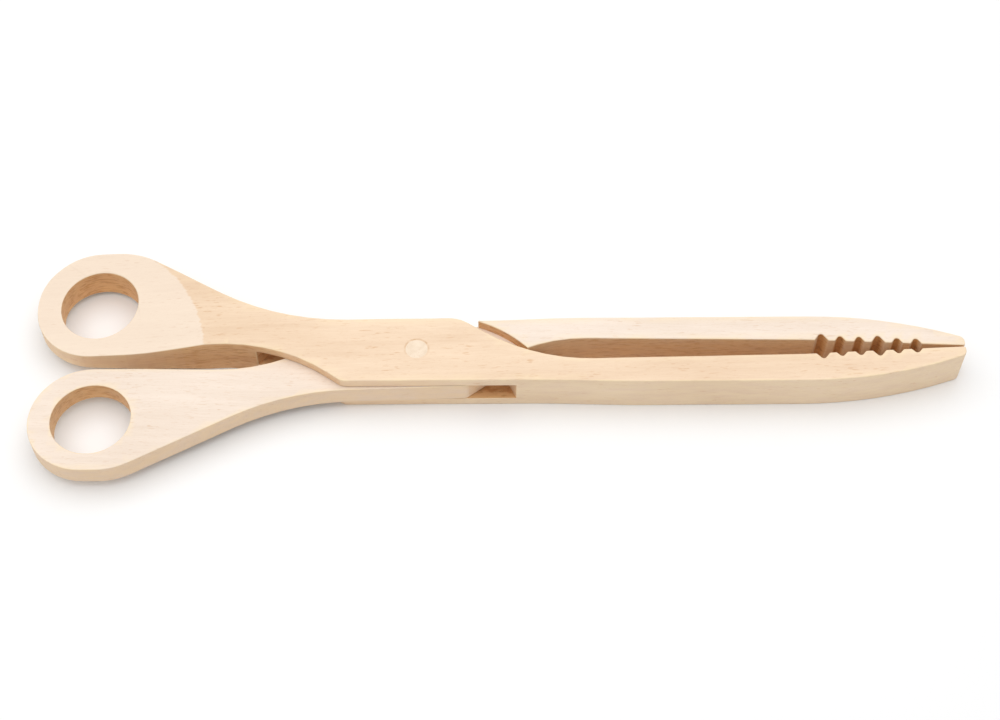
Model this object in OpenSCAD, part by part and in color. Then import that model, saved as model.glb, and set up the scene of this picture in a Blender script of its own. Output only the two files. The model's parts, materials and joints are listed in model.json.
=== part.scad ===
// Wooden scissor tongs: two arms cut from board, threaded through each other
// and held by one dowel. The origin is on the pivot axis, at the underside.
// +X points along the jaws to the tips, +Y is the slotted arm's handle side.

/* [Board] */
// Thickness of the board that both arms are cut from
board_t = 14; // [12:0.5:18]
// Width of both arms where they cross at the pivot
hub_w = 24; // [20:0.5:28]

/* [Jaws] */
// Distance from the pivot axis to the tips
jaw_len = 174.8; // [140:0.2:210]
// Distance from the centre line to the slotted arm's outer jaw edge
jaw_out_slotted = 12.9; // [11.5:0.1:15]
// Distance from the centre line to the tongue arm's outer jaw edge
jaw_out_tongue = 12; // [11.5:0.1:15]
// Distance from the centre line to either inner jaw edge at its root
jaw_gap_half = 4.1; // [2.5:0.1:5.5]
// Half of the gap that is left between the closed tips
tip_gap_half = 0.12; // [0.05:0.01:0.5]

/* [Grip notches] */
// Number of notches along each inner jaw edge
notch_n = 6; // [3:1:6]
// Distance between neighbouring notches
notch_pitch = 6; // [4.8:0.1:6.2]
// Width of a notch at its mouth
notch_w = 3.4; // [2.4:0.1:4]
// Depth of a small notch in the slotted arm
notch_depth_slotted = 1.9; // [1:0.1:2.4]
// Depth of a small notch in the tongue arm
notch_depth_tongue = 2.5; // [1:0.1:2.6]
// Every third notch is this much deeper and wider
notch_extra = 0.6; // [0:0.1:0.8]

/* [Finger rings] */
// Diameter of both finger holes
finger_d = 25; // [22:0.5:28]
// Width of the wood all round the slotted arm's finger hole
ring_wall_slotted = 6.9; // [5:0.1:9]
// Width of the wood all round the tongue arm's finger hole
ring_wall_tongue = 6.3; // [5:0.1:9]
// Extra wood at the far end of both rings
ring_end = 0.8; // [0:0.1:2]
// Slotted arm's finger hole: distance behind the pivot
ring_x_slotted = 103.5; // [90:0.5:120]
// Slotted arm's ring: distance from the centre line to its inner side
ring_in_slotted = 0.6; // [0.2:0.1:4]
// Tongue arm's finger hole: distance behind the pivot
ring_x_tongue = 101.3; // [90:0.5:120]
// Tongue arm's ring: distance from the centre line to its inner side
ring_in_tongue = 4.4; // [0.2:0.1:6]
// Slotted arm's neck: distance behind the pivot where its back edge turns out
neck_x_slotted = 44.6; // [38:0.5:52]
// Slotted arm's neck: distance from the centre line at that turn
neck_y_slotted = 11.8; // [10:0.1:14]
// Tongue arm's neck: distance behind the pivot where its outer edge turns out
neck_x_tongue = 41; // [36:0.5:50]
// Tongue arm's neck: distance from the centre line at that turn
neck_y_tongue = 13.6; // [10:0.1:15]
// Distance from the centre line to the slotted arm's inner handle edge
grip_gap_slotted = 4.2; // [2:0.1:5]
// Distance from the centre line to the tongue arm's inner handle edge
grip_gap_tongue = 5.3; // [3:0.1:6]
// Radius of the shallow round hollow that thins the slotted arm's ring
dish_r = 330; // [280:5:400]
// Radius of the hollow's edge on the face of the board
dish_edge_r = 51.5; // [48:0.5:54]

/* [Joint] */
// Thickness of the tongue arm's hub and handle
tongue_t = 7; // [5:0.5:8]
// Gap between the tongue and the slot, on each face
slot_play = 0.15; // [0.1:0.01:0.3]
// Least gap between the two arms where they lie side by side
arm_play = 0.15; // [0.1:0.01:0.3]
// Diameter of the pivot dowel
dowel_d = 7; // [5:0.5:9]
// Gap all round the dowel in the tongue
dowel_play = 0.07; // [0.03:0.01:0.1]
// Radius of the round cutter that opens the slot from both sides
cutter_r = 49; // [48:0.5:52]
// Widest gap between the slotted arm's edge and the tongue arm's round shoulder
shoulder_gap = 3.4; // [2.5:0.1:4.5]

/* [Hidden] */
$fn = 96;
past = 1;                            // how far a cut runs past a face
hub_h = hub_w / 2;
slot_t = tongue_t + 2 * slot_play;
mid_z = board_t / 2;
ring_y_slotted = ring_in_slotted + ring_wall_slotted + finger_d / 2;
ring_y_tongue = ring_in_tongue + ring_wall_tongue + finger_d / 2;
notch_start = jaw_len - 45.7;        // first notch, counted from the pivot
hub_corner_slotted = 23.6;           // slotted arm's hub corner, behind the pivot
hub_corner_tongue = 22.6;            // the like corner of the tongue arm
front_cut = [-14, -hub_h - 18];      // centre of the slot cut from the front
back_cut = [16, hub_h + 28.5];       // centre of the slot cut from behind
shoulder_centre = [5.8, -27];        // centre of the tongue arm's round shoulder
shoulder_end = 19.6;                 // where the shoulder stops at the outer edge
root_slotted = [13.3, hub_h + 0.3, 11, 62]; // jaw root's outer corner and both its radii
root_tongue = [15.8, hub_h, 3, 50];  // the like corner of the tongue arm
// Outer edge: where the hub ends, its step in there, where the jaw's full width
// starts, and how far before the tip that width ends
flank_slotted = [36, 0, 70, 27.2];
flank_tongue = [24, 0.9, 46, 26];
nose_h = 3.3;                        // height of the blunt nose of each tip
crown_slotted = [11, 0.4, 26];       // ring's outer corner from its centre and rim, its radius
crown_tongue = [8.8, -0.3, 21];      // the like corner of the tongue arm
root_in = [37.5, -jaw_gap_half];     // jaw root: corner on the inner edge
grip_slope = 0.75;                   // steepness of the edge from the hub to the handle
arc_step = 7;                        // degrees turned by one side of an arc

// Unit vector from a to b
function toward(a, b) = (b - a) / norm(b - a);

// Arc of radius r that rounds the corner b between a and c
function rounded_corner(a, b, c, r) =
    norm(toward(a, b) - toward(b, c)) < 0.0001 ? [b] :
    let (
        u = toward(b, a),
        v = toward(b, c),
        half = acos(u * v) / 2,
        reach = r / tan(half),
        centre = b + (u + v) / norm(u + v) * r / sin(half),
        from = b + u * reach - centre,
        side = (u[0] * v[1] - u[1] * v[0]) > 0 ? -1 : 1,
        turn = side * (180 - 2 * half),
        n = max(1, ceil(abs(turn) / arc_step), ceil(r * abs(turn) / 360))
    )
    [for (i = [0:n])
        let (t = turn * i / n)
        centre + [from[0] * cos(t) - from[1] * sin(t), from[0] * sin(t) + from[1] * cos(t)]];

// Closed outline from corners [x, y, radius]
function rounded_outline(p) =
    let (n = len(p))
    [for (i = [0:n - 1])
        let (
            a = p[(i + n - 1) % n],
            b = p[i],
            c = p[(i + 1) % n]
        )
        each (b[2] == 0 ? [[b[0], b[1]]]
            : rounded_corner([a[0], a[1]], [b[0], b[1]], [c[0], c[1]], b[2]))];

// Height of the inner jaw edge at x: one slope to the notches, a steeper one to the tip
function edge_y(x) =
    let (
        bend = [notch_start - 4.5, -0.64 * jaw_gap_half],
        tip = [jaw_len, -tip_gap_half]
    )
    x > bend[0]
        ? bend[1] + (tip[1] - bend[1]) * (x - bend[0]) / (tip[0] - bend[0])
        : root_in[1] + (bend[1] - root_in[1]) * (x - root_in[0]) / (bend[0] - root_in[0]);

// Three corners of notch i, from the tip side to the root side
function notch(i, depth) =
    let (
        x = notch_start + i * notch_pitch,
        more = i % 3 == 0 ? notch_extra : 0,
        w = notch_w + 1.5 * more,
        d = depth + more
    )
    [
        [x + w / 2, edge_y(x + w / 2), 0.6],
        [x, edge_y(x) - d, 0.9],
        [x - w / 2, edge_y(x - w / 2), 0.6]
    ];

// Outline of one arm, with its handle on the +Y side and its jaw on the -Y side
function arm_outline(
    jaw_out, flank, notch_depth, root, neck, crown, ring, wall, grip_gap, hub_corner
) =
    let (
        r = finger_d / 2 + wall,
        ring_x = -ring[0],
        end_x = ring_x - r - ring_end,
        grip_turn = hub_corner + (grip_gap + hub_h) / grip_slope
    )
    rounded_outline(concat(
        [
            // from the tip back along the inner edge, past the notches, to the hub
            [jaw_len, -tip_gap_half, 0.8]
        ],
        [for (i = [notch_n - 1:-1:0]) each notch(i, notch_depth)],
        [
            [notch_start - 4.5, edge_y(notch_start - 4.5), 40],
            [root_in[0], root_in[1], root[3]],
            root,
            // along the hub and out to the finger ring
            [-neck[0], neck[1], 80],
            [ring_x + crown[0], ring[1] + r + crown[1], crown[2]],
            [end_x, ring[1] + r + crown[1], r - 0.2],
            [end_x, ring[1] - r, r - 0.2],
            [ring_x + 15, ring[1] - r, 60],
            // back to the hub along the handle's inner edge
            [-grip_turn, grip_gap, 57],
            [-hub_corner, flank[1] - hub_h, 5],
            // along the outer jaw edge to the tip
            [flank[0], flank[1] - hub_h, 150],
            [flank[2], -jaw_out, 150],
            [jaw_len - flank[3], -jaw_out, 145],
            [jaw_len, -nose_h - tip_gap_half, 2.3]
        ]
    ));

slotted_outline = arm_outline(
    jaw_out_slotted, flank_slotted, notch_depth_slotted, root_slotted,
    [neck_x_slotted, neck_y_slotted], crown_slotted,
    [ring_x_slotted, ring_y_slotted], ring_wall_slotted, grip_gap_slotted,
    hub_corner_slotted
);
tongue_outline = [
    for (p = arm_outline(
        jaw_out_tongue, flank_tongue, notch_depth_tongue, root_tongue,
        [neck_x_tongue, neck_y_tongue], crown_tongue,
        [ring_x_tongue, ring_y_tongue], ring_wall_tongue, grip_gap_tongue,
        hub_corner_tongue
    )) [p[0], -p[1]]
];

// Two shallow round hollows that thin the slotted arm's ring from both faces
module ring_dishes() {
    lift = sqrt(dish_r * dish_r - dish_edge_r * dish_edge_r);
    for (z = [-lift, board_t + lift])
        translate([-ring_x_slotted - 15.5, ring_y_slotted - 24, z])
            sphere(r = dish_r, $fn = 180);
}

// The slot through the middle layer: one round plunge from each side, and room
// for the whole of the tongue arm's hub
module slot() {
    translate([0, 0, mid_z - slot_t / 2]) {
        for (c = [front_cut, back_cut])
            translate([c[0], c[1], 0])
                cylinder(r = cutter_r, h = slot_t, $fn = 180);
        intersection() {
            cylinder(r = root_in[0], h = slot_t);
            for (nudge = [-arm_play, arm_play])
                translate([nudge, nudge, 0])
                    linear_extrude(height = slot_t)
                        polygon(tongue_outline);
        }
    }
}

module slotted_arm() {
    color("burlywood")
    difference() {
        linear_extrude(height = board_t)
            polygon(slotted_outline);
        slot();
        ring_dishes();
        translate([-ring_x_slotted, ring_y_slotted, -past])
            cylinder(d = finger_d, h = board_t + 2 * past);
        translate([0, 0, -past])
            cylinder(d = dowel_d, h = board_t + 2 * past);
    }
}

// Everything behind the round shoulder, where the tongue arm is thinned
module shoulder_cut(z, h) {
    root = [root_slotted[0], root_slotted[1]];
    run = toward(root, root_in);
    reach = (root - shoulder_centre) * [-run[1], run[0]];
    translate([shoulder_centre[0], shoulder_centre[1], z])
        cylinder(r = reach + shoulder_gap, h = h, $fn = 180);
    translate([-2 * ring_x_tongue, -ring_x_tongue, z])
        cube([2 * ring_x_tongue + shoulder_end, 2 * ring_x_tongue, h]);
    translate([arm_play, arm_play, z])
        linear_extrude(height = h)
            polygon(slotted_outline);
}

module tongue_arm() {
    color("wheat")
    difference() {
        linear_extrude(height = board_t)
            polygon(tongue_outline);
        shoulder_cut(-past, mid_z - tongue_t / 2 + past);
        shoulder_cut(mid_z + tongue_t / 2, board_t);
        translate([-ring_x_tongue, -ring_y_tongue, -past])
            cylinder(d = finger_d, h = board_t + 2 * past);
        translate([0, 0, -past])
            cylinder(d = dowel_d + 2 * dowel_play, h = board_t + 2 * past);
    }
}

module pivot_dowel() {
    color("cornsilk")
    cylinder(d = dowel_d, h = board_t);
}

slotted_arm();
tongue_arm();
pivot_dowel();
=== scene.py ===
import json
import math

import bmesh
import bpy
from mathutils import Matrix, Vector, noise


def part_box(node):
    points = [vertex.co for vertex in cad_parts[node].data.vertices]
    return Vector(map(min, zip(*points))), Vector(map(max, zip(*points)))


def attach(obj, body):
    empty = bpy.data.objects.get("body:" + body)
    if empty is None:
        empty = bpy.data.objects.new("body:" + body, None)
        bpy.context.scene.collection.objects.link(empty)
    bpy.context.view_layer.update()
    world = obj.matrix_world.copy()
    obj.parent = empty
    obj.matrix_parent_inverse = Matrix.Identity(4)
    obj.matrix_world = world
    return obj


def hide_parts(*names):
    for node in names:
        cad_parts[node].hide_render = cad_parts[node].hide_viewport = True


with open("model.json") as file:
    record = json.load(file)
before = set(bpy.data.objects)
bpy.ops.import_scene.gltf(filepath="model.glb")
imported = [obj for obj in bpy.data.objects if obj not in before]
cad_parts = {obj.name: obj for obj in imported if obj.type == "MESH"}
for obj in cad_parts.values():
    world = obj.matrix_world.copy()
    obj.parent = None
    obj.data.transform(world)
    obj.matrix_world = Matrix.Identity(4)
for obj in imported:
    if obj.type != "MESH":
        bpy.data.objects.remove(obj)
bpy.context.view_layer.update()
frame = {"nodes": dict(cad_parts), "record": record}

MM = 0.001

# Camera: a long lens looking down at the table from in front
LENS_MM = 61.2
ELEVATION = math.radians(55.5)
AZIMUTH = math.radians(0.48)
DISTANCE = 546 * MM
AIM = Vector((26.5, 0.35, 7.0)) * MM

# Studio: a white surround, a wide soft light above and a pale floor
FLOOR_HALF = 4
FLOOR_TONE = 0.91
SURROUND = 0.51
KEY_PLACE = (-0.06, 0.15, 1.1)
KEY_SIZE = (2.0, 1.7)
KEY_WATTS = 14.6

# Hand-finished wood, in metres and from the pivot
ARRIS = 0.45 * MM          # rounding of the outer arrises
SLOT_ARRIS = 0.30 * MM     # rounding of the arrises round the slot and the tongue
SHARP = math.radians(28)   # edges sharper than this are rounded
CELL = 3 * MM              # grid that carries the waver
WAVER = 0.10 * MM          # about how much hand sanding takes off at most
WAVER_SPAN = 19 * MM       # how broad the dips left by sanding are
DOWEL_CALM = 6 * MM        # how far round the dowel the sanding takes to reach its full depth
OUTER = 2.2 * MM           # depth below a face where the outer arrises and full sanding end
TOUCH = 0.1 * MM           # allowance when a height is compared with the slot's faces
ON_UNDERSIDE = 0.01 * MM   # points lower than this lie on the underside
NEAR_DOWEL = 0.3 * MM      # edges this close to the dowel's rim stay sharp
NEAR_HOLE = 0.5 * MM       # faces this close to a finger hole's wall belong to it
STEEPEST_HOLLOW = 0.95     # least upward part of a normal in the ring's hollow
FLATTEST_HOLLOW = 0.9995   # and the most
LEVEL = 0.7                # a normal with more upward part than this is a top or bottom face's
ROLL = math.radians(38)    # neighbouring faces closer than this share their shading
BOARD_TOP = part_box("slotted_arm")[1][2]
JAW_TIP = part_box("slotted_arm")[1][0]
DOWEL_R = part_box("pivot_dowel")[1][0]
CHEEK = 3.35 * MM          # wood above and below the slot
SLOT_REACH = 56 * MM       # how far the slot runs from the pivot, either way
HUB_REACH = 24 * MM        # how far the hub runs behind the pivot
ROOT_REACH = 17 * MM       # where the jaws' inner edges start
GAP_START = 37.5 * MM      # where the jaws' straight inner edges start
GAP_HALF = 4.1 * MM        # half the gap there; it closes to nothing at the tip
NOTCH_START = 128 * MM     # where the notches start
NOTCH_DEEP = 2.0 * MM      # depth at which a notch has its full painted shade
HOLLOW_CENTRE = Vector((-119, -4, 0)) * MM
HOLLOW_EDGE = 51.5 * MM    # radius at which the ring's hollow meets the face
HOLLOW_FADE = (1.0 * MM, 1.7 * MM)  # how far past that radius its paler tone fades out
RAGGED = 2.4 * MM          # how far the grain breaks up the edge of that tone
GLUE_OUT = 0.3 * MM        # how far outside the dowel's rim its dirty line runs
GLUE_HALF = 0.5 * MM       # half that line's width
RING_FADE = (-96 * MM, -72 * MM)    # where painted shade turns the handle's inner wall browner, along X
HUB_FADE = (-30 * MM, -55 * MM)     # and where it does coming from the hub
HANDLE_SHADE = (-20 * MM, -85 * MM)  # where painted shade darkens the slotted arm's face, along X
SIDE_SHADE = (20 * MM, 0)            # where painted shade turns its side walls warmer, along X
HOLE_R = next(
    m["dims"]["r_mm"] for m in frame["record"]["mounts"] if m["name"] == "finger_hole"
) * MM


def add_camera():
    camera = bpy.data.objects.new("camera", bpy.data.cameras.new("camera"))
    bpy.context.scene.collection.objects.link(camera)
    forward = Vector((
        math.sin(AZIMUTH) * math.cos(ELEVATION),
        math.cos(AZIMUTH) * math.cos(ELEVATION),
        -math.sin(ELEVATION),
    ))
    camera.location = AIM - forward * DISTANCE
    camera.rotation_euler = forward.to_track_quat("-Z", "Y").to_euler()
    camera.data.lens = LENS_MM
    camera.data.clip_start = 10 * MM
    camera.data.clip_end = 20
    bpy.context.scene.camera = camera


def arris_weight(edge):
    """How much of the full rounding an edge gets, from 0 to 1."""
    if not edge.is_manifold or not edge.is_convex or edge.calc_face_angle(0) < SHARP:
        return 0
    if all(math.hypot(v.co.x, v.co.y) < DOWEL_R + NEAR_DOWEL for v in edge.verts):
        return 0
    heights = [v.co.z for v in edge.verts]
    if max(heights) < OUTER:
        return 1
    if all(z < ON_UNDERSIDE or z > BOARD_TOP - OUTER for z in heights):
        return 1
    return SLOT_ARRIS / ARRIS


def cleaned_mesh(node):
    """The CAD node's mesh with its flat faces joined up and its arrises weighted."""
    build = bmesh.new()
    build.from_mesh(frame["nodes"][node].data)
    bmesh.ops.remove_doubles(build, verts=build.verts, dist=0.002 * MM)
    bmesh.ops.dissolve_limit(
        build, angle_limit=math.radians(0.05), verts=build.verts, edges=build.edges
    )
    weight = build.edges.layers.float.new("bevel_weight_edge")
    for edge in build.edges:
        edge[weight] = arris_weight(edge)
    mesh = bpy.data.meshes.new(node)
    build.to_mesh(mesh)
    build.free()
    return mesh


def rounded(piece):
    """Rounds the weighted arrises; the new faces get material index 1."""
    bevel = piece.modifiers.new("arris", "BEVEL")
    bevel.width = ARRIS
    bevel.segments = 3
    bevel.limit_method = "WEIGHT"
    bevel.use_clamp_overlap = False
    bevel.material = 1
    depsgraph = bpy.context.evaluated_depsgraph_get()
    mesh = bpy.data.meshes.new_from_object(piece.evaluated_get(depsgraph))
    piece.modifiers.clear()
    return mesh


def ring_centres():
    """Centres of both finger holes, from the record's openings."""
    boxes = [o["box_m"] for o in frame["record"]["physics"]["openings"] if "ring" in o["name"]]
    return [Vector(((low[0] + high[0]) / 2, (low[1] + high[1]) / 2)) for low, high in boxes]


def between(x, start, end):
    """0 at the start, 1 at the end, straight between them and level beyond."""
    return min(1, max(0, (x - start) / (end - start)))


def notched_painted_shade(face, side, spot):
    """Painted shade on a jaw's inner wall, darkest at the bottom of each notch; elsewhere less of
    it on walls facing +X and on the slotted arm's wall.
    """
    if face.calc_center_median().x > NOTCH_START:
        gap = GAP_HALF * (JAW_TIP - spot.x) / (JAW_TIP - GAP_START)
        depth = between(abs(spot.y), gap, gap + NOTCH_DEEP)
        if depth > 0.3 or abs(face.normal.x) > 0.25:
            return depth ** 1.6
    plain = 0.3 if side == 1 else 0.5
    return max(0, plain - 0.5 * face.normal.x)


def handle_painted_shade(x):
    """Painted shade on the slotted handle's inner wall, fading towards its ring and the hub."""
    return 0.6 * between(x, *RING_FADE) * max(0.4, between(x, *HUB_FADE))


def painted_shade_of(face, side, spot):
    """How much painted shade a face gets at a spot: about 1 in the slot, 0 on the outside."""
    if face.material_index == 1:
        return 0
    middle = face.calc_center_median()
    level = abs(face.normal.z) > LEVEL
    heights = [v.co.z for v in face.verts]
    inner = CHEEK - TOUCH < min(heights) and max(heights) < BOARD_TOP - CHEEK + TOUCH
    # painted shade inside the slot: darkest on its floor and roof, and darker on the end wall
    # behind the pivot than on the one in front
    if side == 1 and inner and abs(middle.x) < SLOT_REACH:
        end_wall = 0.15 if middle.x > 0 else 0.65
        return 0.8 if level else end_wall
    if level:
        return 0
    # painted shade on the finger holes' walls, darker on walls that face -Y
    if any((middle.xy - centre).length < HOLE_R + NEAR_HOLE for centre in RINGS):
        return 0.45 + 0.35 * max(0, -face.normal.y)
    # painted shade on the jaws' inner walls
    if face.normal.y * side > 0.1 and middle.x > ROOT_REACH:
        return notched_painted_shade(face, side, spot)
    # painted shade on the slotted handle's inner wall
    if side == 1 and face.normal.y < 0 and middle.x < -HUB_REACH:
        return handle_painted_shade(middle.x)
    return 0


def mark_surfaces(build, side):
    """Writes where the wood is a rounded arris and how much painted shade each corner of a face
    gets.
    """
    arris = build.verts.layers.float.new("arris")
    painted_shade = build.loops.layers.float.new("painted_shade")
    for vertex in build.verts:
        faces = vertex.link_faces
        vertex[arris] = sum(f.material_index for f in faces) / len(faces)
    for face in build.faces:
        for loop in face.loops:
            near = loop.vert.link_faces if face.material_index == 1 else [face]
            loop[painted_shade] = max(painted_shade_of(f, side, loop.vert.co) for f in near)


def waver(build):
    """Takes about a tenth of a millimetre off the faces at most, as hand sanding does."""
    moves = []
    for vertex in build.verts:
        place = vertex.co / WAVER_SPAN
        off = min(0, noise.noise(place + Vector((3.1, 0.7, 5.3))) - 0.4)
        fade = between(math.hypot(vertex.co.x, vertex.co.y), DOWEL_R, DOWEL_R + DOWEL_CALM)
        inside = OUTER < vertex.co.z < BOARD_TOP - OUTER
        moves.append(vertex.normal * (WAVER * off * fade * (0.4 if inside else 1)))
    for vertex, move in zip(build.verts, moves):
        vertex.co += move
        vertex.co.z = min(max(vertex.co.z, 0), BOARD_TOP)
    build.normal_update()


def kind_of(face):
    """0 for a rounded arris, 1 for the ring's hollow, 2 for any other face."""
    if face.material_index == 1:
        return 0
    tilt = abs(face.normal.z)
    return 1 if STEEPEST_HOLLOW < tilt < FLATTEST_HOLLOW else 2


def loop_normals(build):
    """Normals that keep the faces flat, roll over the arrises and keep the true creases."""
    kinds = {face: kind_of(face) for face in build.faces}
    close = math.cos(ROLL)
    normals = []
    for face in build.faces:
        own = kinds[face]
        for loop in face.loops:
            near = [f for f in loop.vert.link_faces if f.normal.dot(face.normal) > close]
            strong = [f for f in near if kinds[f] and (own == 0 or kinds[f] == own)]
            total = Vector()
            for f in strong or near:
                total += f.normal * f.calc_area()
            normals.append(total.normalized())
    return normals


def sanded_copy(node, name, body):
    """The CAD node with rounded arrises and slightly wavy faces."""
    piece = bpy.data.objects.new(name, cleaned_mesh(node))
    bpy.context.scene.collection.objects.link(piece)
    for _ in range(2):
        piece.data.materials.append(None)
    mesh = rounded(piece)
    build = bmesh.new()
    build.from_mesh(mesh)
    low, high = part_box(node)
    for axis, normal in ((0, (1, 0, 0)), (1, (0, 1, 0))):
        for i in range(math.ceil(low[axis] / CELL), math.floor(high[axis] / CELL) + 1):
            spot = Vector(normal) * (i * CELL)
            bmesh.ops.bisect_plane(
                build, geom=build.verts[:] + build.edges[:] + build.faces[:],
                dist=0.001 * MM, plane_co=spot, plane_no=normal
            )
    mark_surfaces(build, 1 if body == "slotted" else -1)
    waver(build)
    normals = loop_normals(build)
    for face in build.faces:
        face.material_index = 0
        face.smooth = True
    build.to_mesh(mesh)
    build.free()
    mesh.materials.clear()
    mesh.normals_split_custom_set(normals)
    piece.data = mesh
    return piece


class Wires:
    """Small helper that adds and links shader nodes."""

    def __init__(self, material):
        self.tree = material.node_tree

    def node(self, kind, settings=None, **inputs):
        made = self.tree.nodes.new("ShaderNode" + kind)
        for key, value in (settings or {}).items():
            setattr(made, key, value)
        for key, value in inputs.items():
            self.put(made, key.replace("_", " "), value)
        return made

    def put(self, node, socket, value):
        """Links a socket's value, or sets a plain one."""
        target = node.inputs[socket]
        if isinstance(value, bpy.types.NodeSocket):
            self.tree.links.new(value, target)
        else:
            target.default_value = value

    def math(self, operation, a, b=0.0, clamp=False):
        made = self.node("Math", {"operation": operation, "use_clamp": clamp})
        self.put(made, 0, a)
        self.put(made, 1, b)
        return made.outputs[0]

    def noise(self, place, scale, detail=2.0, shift=(0, 0, 0)):
        """Noise from 0 to 1 whose lumps are 1/scale millimetres along each axis."""
        spread = self.node("Mapping")
        self.put(spread, "Vector", place)
        self.put(spread, "Location", shift)
        self.put(spread, "Scale", tuple(s / MM for s in scale))
        made = self.node("TexNoise", Scale=1.0, Detail=detail, Roughness=0.55)
        self.put(made, "Vector", spread.outputs["Vector"])
        return made.outputs["Fac"]

    def ramp(self, value, *stops):
        """Maps a value through stops of (position, grey level or colour)."""
        made = self.node("ValToRGB")
        self.put(made, "Fac", value)
        marks = made.color_ramp.elements
        while len(marks) < len(stops):
            marks.new(0.5)
        for mark, (at, level) in zip(marks, stops):
            mark.position = at
            mark.color = (*level, 1) if isinstance(level, tuple) else (level, level, level, 1)
        return made.outputs["Color"]

    def mix(self, kind, amount, a, b):
        """Blends colour b over colour a; b is given as three numbers."""
        made = self.node("Mix", {"data_type": "RGBA", "blend_type": kind})
        self.put(made, 0, amount)
        self.put(made, 6, a)
        self.put(made, 7, (*b, 1))
        return made.outputs[2]

    def between(self, value, start, end):
        """0 at the start, 1 at the end, straight between them and level beyond."""
        past = self.math("SUBTRACT", value, start)
        return self.math("DIVIDE", past, end - start, clamp=True)

    def axes(self, vector):
        """The X, Y and Z sockets of a vector."""
        made = self.node("SeparateXYZ")
        self.put(made, 0, vector)
        return made.outputs

    def reach(self, place, centre):
        """Distance from a centre, seen from above."""
        away = self.node("VectorMath", {"operation": "SUBTRACT"})
        self.put(away, 0, place)
        self.put(away, 1, centre)
        level = self.node("VectorMath", {"operation": "MULTIPLY"})
        self.put(level, 0, away.outputs[0])
        self.put(level, 1, (1, 1, 0))
        length = self.node("VectorMath", {"operation": "LENGTH"})
        self.put(length, 0, level.outputs[0])
        return length.outputs["Value"]


def glue_line(w, spot):
    """A faint broken line round the dowel, mostly on its far side."""
    off = w.math("SUBTRACT", w.reach(spot, (0, 0, 0)), DOWEL_R + GLUE_OUT)
    off = w.math("ABSOLUTE", off)
    line = w.math("SUBTRACT", 1.0, w.math("DIVIDE", off, GLUE_HALF), clamp=True)
    broken = w.noise(spot, (0.45, 0.45, 0.45), shift=(1, 3, 0))
    broken = w.ramp(broken, (0.40, 0.1), (0.60, 1.0))
    far = w.math("DIVIDE", w.axes(spot)["Y"], 2 * DOWEL_R)
    far = w.math("ADD", far, 0.5, clamp=True)
    return w.math("MULTIPLY", line, w.math("MULTIPLY", broken, far))


def hollow_mask(w, spot, sides):
    """How far a point lies in the freshly sanded hollow, whose edge follows the grain."""
    ragged = w.math("MULTIPLY", w.noise(spot, (0.1, 1.1, 1.1)), RAGGED)
    edge = w.math("ADD", w.reach(spot, HOLLOW_CENTRE), ragged)
    fall = w.node("MapRange", {"interpolation_type": "SMOOTHSTEP"})
    w.put(fall, "Value", edge)
    w.put(fall, "From Min", HOLLOW_EDGE + HOLLOW_FADE[0])
    w.put(fall, "From Max", HOLLOW_EDGE + HOLLOW_FADE[1])
    w.put(fall, "To Min", 0.5)
    w.put(fall, "To Max", 0.0)
    on_face = w.math("GREATER_THAN", w.math("ABSOLUTE", sides["Z"]), 0.6)
    return w.math("MULTIPLY", fall.outputs["Result"], on_face)


def upright_mask(w, sides):
    """1 on the side walls, 0 on the faces."""
    return w.math("LESS_THAN", w.math("ABSOLUTE", sides["Z"]), 0.5)


def slotted_tints_and_shade(w, spot, sides, colour):
    """Painted shade darkening the handle's face and warming the side walls behind the hub, then
    the pale hollow and the glue line.
    """
    x = w.axes(spot)["X"]
    upright = upright_mask(w, sides)
    handle = w.math("MULTIPLY", w.between(x, *HANDLE_SHADE), w.math("SUBTRACT", 1.0, upright))
    behind = w.math("MULTIPLY", w.between(x, *SIDE_SHADE), upright)
    # painted shade: the handle's face darker towards its ring end, the side walls behind the hub
    # warmer
    colour = w.mix("MULTIPLY", handle, colour, (0.94, 0.92, 0.89))
    colour = w.mix("MULTIPLY", behind, colour, (1.0, 0.945, 0.895))
    colour = w.mix("MIX", hollow_mask(w, spot, sides), colour, (0.90, 0.80, 0.70))
    return w.mix("MULTIPLY", glue_line(w, spot), colour, (0.74, 0.60, 0.44))


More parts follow.
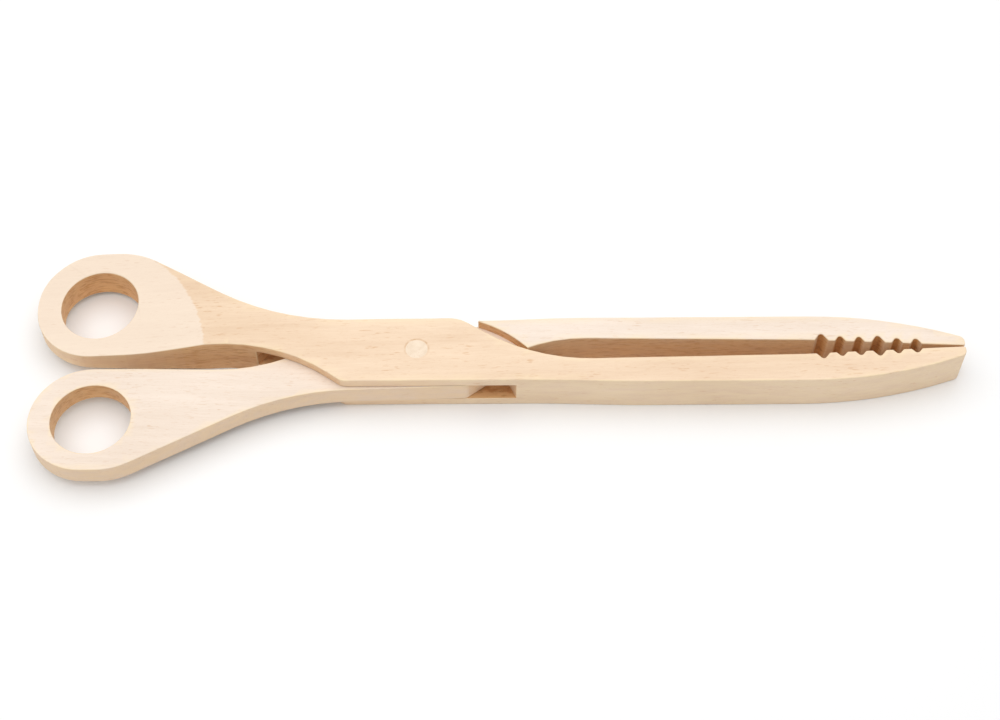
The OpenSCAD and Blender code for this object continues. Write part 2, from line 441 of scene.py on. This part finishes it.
def beech(name, pale, deep, grain_turn=0.0, shift=(0, 0, 0), end_grain=False):
    """Sanded beech with its grain along X, turned a little about Z."""
    material = bpy.data.materials.new(name)
    material.use_nodes = True
    w = Wires(material)
    shader = material.node_tree.nodes["Principled BSDF"]
    spot = w.node("TexCoord").outputs["Object"]
    turned = w.node("Mapping")
    w.put(turned, "Vector", spot)
    tilt = (math.radians(1.5), math.radians(1.0), grain_turn)
    if end_grain:
        tilt = (0, math.radians(84), 0)
    w.put(turned, "Rotation", tilt)
    grain = turned.outputs["Vector"]
    sides = w.axes(w.node("TexCoord").outputs["Normal"])
    on_arris = w.node("Attribute", {"attribute_name": "arris"}).outputs["Fac"]
    # painted shade amount for each face corner
    painted_shade = w.node("Attribute", {"attribute_name": "painted_shade"}).outputs["Fac"]

    # growth: a broad drift of tone, soft bands and fine fibres
    spread = (0.016, 0.45, 0.45) if end_grain else (0.016, 0.07, 0.09)
    drift = w.noise(grain, spread, shift=shift)
    bands = w.noise(grain, (0.035, 0.7, 0.5), detail=3.0, shift=shift)
    fibres = w.noise(grain, (0.16, 4.5, 4.5), detail=3.0)
    tone = w.math("ADD", w.math("MULTIPLY", drift, 0.5), w.math("MULTIPLY", bands, 0.25))
    tone = w.math("ADD", tone, w.math("MULTIPLY", fibres, 0.25))
    colour = w.ramp(tone, (0.34, deep), (0.62, pale))

    # rays: short dark flecks in loose groups; pores: finer and shorter ones
    groups = w.ramp(w.noise(grain, (0.05, 0.16, 0.16)), (0.40, 0.15), (0.60, 1.0))
    rays = w.noise(grain, (0.28, 2.0, 2.0), detail=1.0, shift=shift)
    rays = w.ramp(rays, (0.29, 1.0), (0.36, 0.0))
    pores = w.ramp(w.noise(grain, (0.7, 5.0, 5.0), detail=1.0), (0.26, 1.0), (0.36, 0.0))
    rays = w.math("MULTIPLY", rays, groups)
    flecked = w.math("MULTIPLY", rays, 0.45 if name == "beech_tongue" else 0.62)
    colour = w.mix("MULTIPLY", flecked, colour, (0.79, 0.61, 0.43))
    colour = w.mix("MULTIPLY", w.math("MULTIPLY", pores, 0.35), colour, (0.82, 0.66, 0.50))

    # end grain drinks in more and looks darker
    end = w.math("POWER", w.math("ABSOLUTE", sides["X"]), 3.0)
    colour = w.mix("MULTIPLY", w.math("MULTIPLY", end, 0.5), colour, (0.88, 0.78, 0.64))

    # arrises: lighter and yellower, in an uneven line: a painted highlight where the rounding
    # catches the light, with some wear
    patchy = w.ramp(w.noise(grain, (0.12, 0.4, 0.4), detail=2.0), (0.35, 0.25), (0.6, 1.0))
    highlight_and_wear = w.math("MULTIPLY", w.math("MULTIPLY", on_arris, patchy), 0.8, clamp=True)
    colour = w.mix("MIX", highlight_and_wear, colour, (0.94, 0.76, 0.50))

    # painted shade: walls of the slot, holes, jaw gap and notches turn browner, darkest deep in
    # the slot, with torn fibres where that shade lies
    tear = w.noise(grain, (0.25, 0.5, 1.6), detail=4.0, shift=(5, 2, 9))
    torn = w.math("MULTIPLY", w.ramp(tear, (0.38, 1.0), (0.50, 0.0)), painted_shade)
    colour = w.mix("MULTIPLY", painted_shade, colour, (0.88, 0.66, 0.38))
    colour = w.mix("MULTIPLY", w.math("MULTIPLY", torn, 0.8), colour, (0.70, 0.52, 0.38))
    deepest = w.math("MULTIPLY", w.math("SUBTRACT", painted_shade, 0.82), 3.0, clamp=True)
    colour = w.mix("MULTIPLY", deepest, colour, (0.76, 0.62, 0.56))

    # each arm's board has its own tints and painted shade; the tongue arm's side walls get painted
    # shade, darker and warmer
    if name == "beech_slotted":
        colour = slotted_tints_and_shade(w, spot, sides, colour)
    if name == "beech_tongue":
        colour = w.mix("MULTIPLY", upright_mask(w, sides), colour, (0.97, 0.88, 0.78))
    w.put(shader, "Base Color", colour)

    rough = w.math("ADD", w.math("MULTIPLY", fibres, 0.25), 0.44)
    w.put(shader, "Roughness", w.math("ADD", rough, w.math("MULTIPLY", end, 0.1)))
    shader.inputs["Specular IOR Level"].default_value = 0.35
    height = w.math("SUBTRACT", w.math("MULTIPLY", fibres, 0.6), w.math("MULTIPLY", rays, 0.5))
    height = w.math("SUBTRACT", height, w.math("MULTIPLY", pores, 0.3))
    height = w.math("SUBTRACT", height, w.math("MULTIPLY", torn, 2.2))
    bump = w.node("Bump", Strength=0.5, Distance=0.09 * MM)
    w.put(bump, "Height", height)
    w.put(shader, "Normal", bump.outputs["Normal"])
    return material


def add_floor():
    mesh = bpy.data.meshes.new("floor")
    build = bmesh.new()
    bmesh.ops.create_grid(build, x_segments=2, y_segments=2, size=FLOOR_HALF)
    build.to_mesh(mesh)
    build.free()
    floor = bpy.data.objects.new("floor", mesh)
    bpy.context.scene.collection.objects.link(floor)
    material = bpy.data.materials.new("floor")
    material.use_nodes = True
    shader = material.node_tree.nodes["Principled BSDF"]
    shader.inputs["Base Color"].default_value = (FLOOR_TONE, FLOOR_TONE, FLOOR_TONE, 1)
    shader.inputs["Roughness"].default_value = 0.8
    shader.inputs["Specular IOR Level"].default_value = 0.1
    mesh.materials.append(material)


def add_light():
    world = bpy.data.worlds.new("studio")
    world.use_nodes = True
    background = world.node_tree.nodes["Background"]
    background.inputs["Color"].default_value = (1, 1, 1, 1)
    background.inputs["Strength"].default_value = SURROUND
    bpy.context.scene.world = world
    bpy.context.scene.view_settings.view_transform = "Standard"
    light = bpy.data.lights.new("key", "AREA")
    light.shape = "RECTANGLE"
    light.size, light.size_y = KEY_SIZE
    light.energy = KEY_WATTS
    key = bpy.data.objects.new("key", light)
    bpy.context.scene.collection.objects.link(key)
    key.location = KEY_PLACE
    key.rotation_euler = (-Vector(KEY_PLACE)).to_track_quat("-Z", "Y").to_euler()


RINGS = ring_centres()

# node: body, material, pale and deep tone, turn of the grain in radians
PIECES = {
    "slotted_arm": ("slotted", "beech_slotted", (0.895, 0.70, 0.515), (0.775, 0.565, 0.39), -0.02),
    "tongue_arm": ("tongue", "beech_tongue", (0.89, 0.76, 0.65), (0.78, 0.64, 0.52), 0.03),
    "pivot_dowel": ("slotted", "beech_dowel", (0.89, 0.74, 0.58), (0.80, 0.64, 0.48), 0.0),
}

add_camera()
add_floor()
add_light()
for node, (body, slot, pale, deep, turn) in PIECES.items():
    piece = sanded_copy(node, node + "_wood", body)
    across = node == "pivot_dowel"
    wood = beech(slot, pale, deep, turn, shift=(turn * 90, 0, 0), end_grain=across)
    piece.data.materials.append(wood)
    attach(piece, body)
    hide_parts(node)

bpy.context.view_layer.update()
